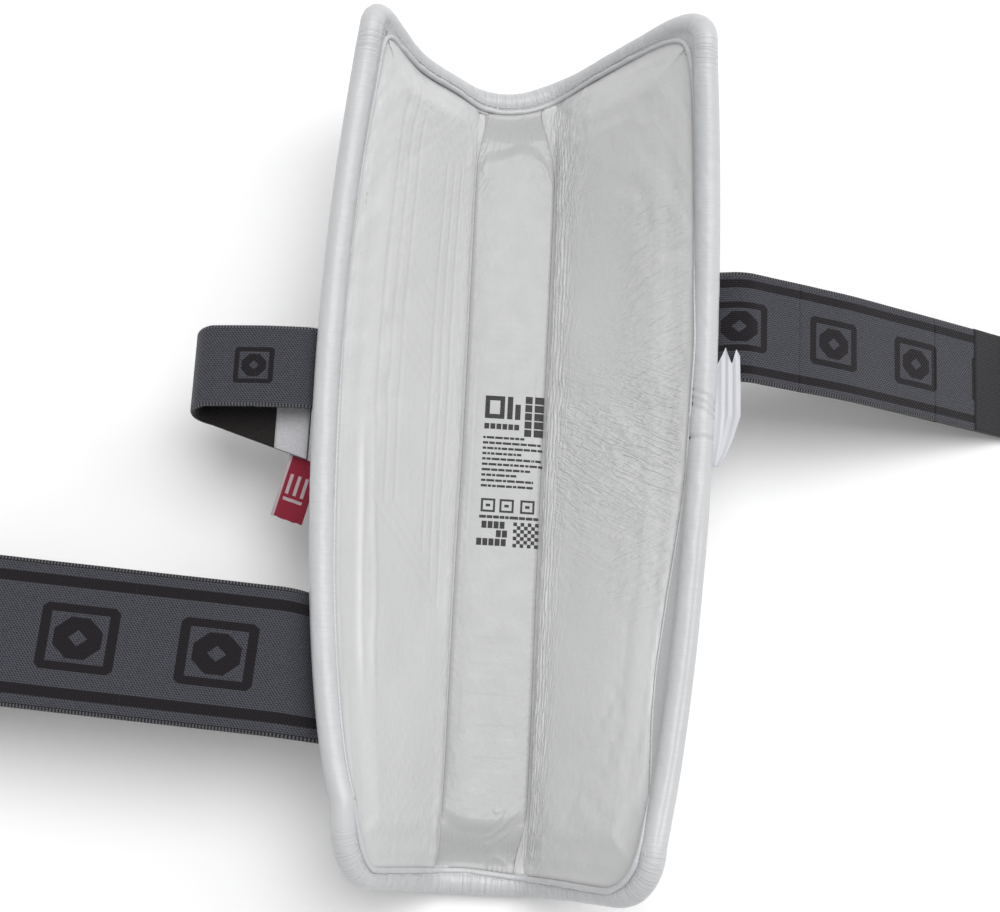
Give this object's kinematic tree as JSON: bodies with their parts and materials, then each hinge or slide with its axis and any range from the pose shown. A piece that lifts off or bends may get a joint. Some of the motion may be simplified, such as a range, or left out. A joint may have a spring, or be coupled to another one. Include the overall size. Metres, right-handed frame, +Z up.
{
  "type": "shin guard",
  "caption": "Padded white shin guard: a foam-lined leather trough with a rolled edge, elastic straps with hook tabs, a side loop and a label.",
  "frame": {"origin": "centre of the flat on the outer face of the ridge, which the guard lies on", "axes": "+Z up, out of the hollow side; +Y towards the knee end; +X towards the side with the narrow knee strap"},
  "size_m": [0.5287, 0.312, 0.0825],
  "materials": {
    "cover_leather": "smooth white coated leather",
    "core_foam": "closed-cell foam",
    "soft_foam": "open-cell foam",
    "lining_leather": "matt grained off-white coated leather",
    "binding_leather": "glossy white coated leather",
    "thread": "twisted thread",
    "elastic": "woven grey elastic with dark stripes",
    "hook_tape": "dark woven hook tape",
    "facing": "grey-white felted facing",
    "label_cloth": "red woven label",
    "loop_pile": "white loop pile"
  },
  "bodies": {
    "pad": {"outer_cover": "cover_leather", "impact_core": "core_foam", "soft_pad_left": "soft_foam", "soft_pad_centre": "soft_foam", "soft_pad_right": "soft_foam", "lining_left": "lining_leather", "lining_centre": "lining_leather", "lining_right": "lining_leather", "edge_binding": "binding_leather", "edge_filler": "soft_foam", "edge_piping": "binding_leather", "seam_thread_left": "thread", "seam_thread_right": "thread", "lower_strap_anchor": "elastic", "upper_strap_anchor": "elastic", "side_loop_anchor": "elastic", "lower_landing_patch": "loop_pile", "upper_landing_patch": "loop_pile"},
    "lower_strap": {"lower_strap_band": "elastic"},
    "lower_end": {"lower_strap_end": "elastic"},
    "lower_tab": {"lower_hook_tape": "hook_tape", "lower_hooks": "hook_tape"},
    "upper_strap": {"upper_strap_band": "elastic"},
    "upper_end": {"upper_strap_end": "elastic"},
    "upper_tab": {"upper_hook_tape": "hook_tape", "upper_hooks": "hook_tape"},
    "side_loop": {"side_loop_band": "elastic", "side_loop_facing": "facing"},
    "label": {"woven_label": "label_cloth"},
    "tab": {"edge_tab": "binding_leather"}
  },
  "joints": [
    {"name": "lower_strap_swing", "type": "hinge", "parent": "pad", "child": "lower_strap", "pos_m": [-0.07163, -0.07988, 0.0507], "axis": [0.061, 0.9981, 0], "range_deg": [0, 88]},
    {"name": "lower_strap_bend", "type": "hinge", "parent": "lower_strap", "child": "lower_end", "pos_m": [-0.17537, -0.07353, 0.04707], "axis": [0.061, 0.9981, 0], "range_deg": [0, 100]},
    {"name": "lower_tab_fold", "type": "hinge", "parent": "lower_end", "child": "lower_tab", "pos_m": [-0.214, -0.07117, 0.00095], "axis": [0.061, 0.9981, 0], "range_deg": [-48, 60]},
    {"name": "upper_strap_swing", "type": "hinge", "parent": "pad", "child": "upper_strap", "pos_m": [0.08038, 0.046, 0.05567], "axis": [0, -1, 0], "range_deg": [0, 108]},
    {"name": "upper_strap_bend", "type": "hinge", "parent": "upper_strap", "child": "upper_end", "pos_m": [0.1221, 0.046, 0.03881], "axis": [0, -1, 0], "range_deg": [0, 100]},
    {"name": "upper_tab_fold", "type": "hinge", "parent": "upper_end", "child": "upper_tab", "pos_m": [0.1933, 0.046, 0.00095], "axis": [0, -1, 0], "range_deg": [-30, 70]},
    {"name": "side_loop_swing", "type": "hinge", "parent": "pad", "child": "side_loop", "pos_m": [-0.0695, 0.0215, 0.0534], "axis": [0, 1, 0], "range_deg": [0, 90]},
    {"name": "label_flip", "type": "hinge", "parent": "side_loop", "child": "label", "pos_m": [-0.07014, -0.0103, 0.04072], "axis": [0.9613, -0.2756, 0], "range_deg": [-30, 60]},
    {"name": "edge_tab_flip", "type": "hinge", "parent": "pad", "child": "tab", "pos_m": [0.07141, 0.0157, 0.05697], "axis": [0, -1, 0], "range_deg": [-5, 70]}
  ]
}
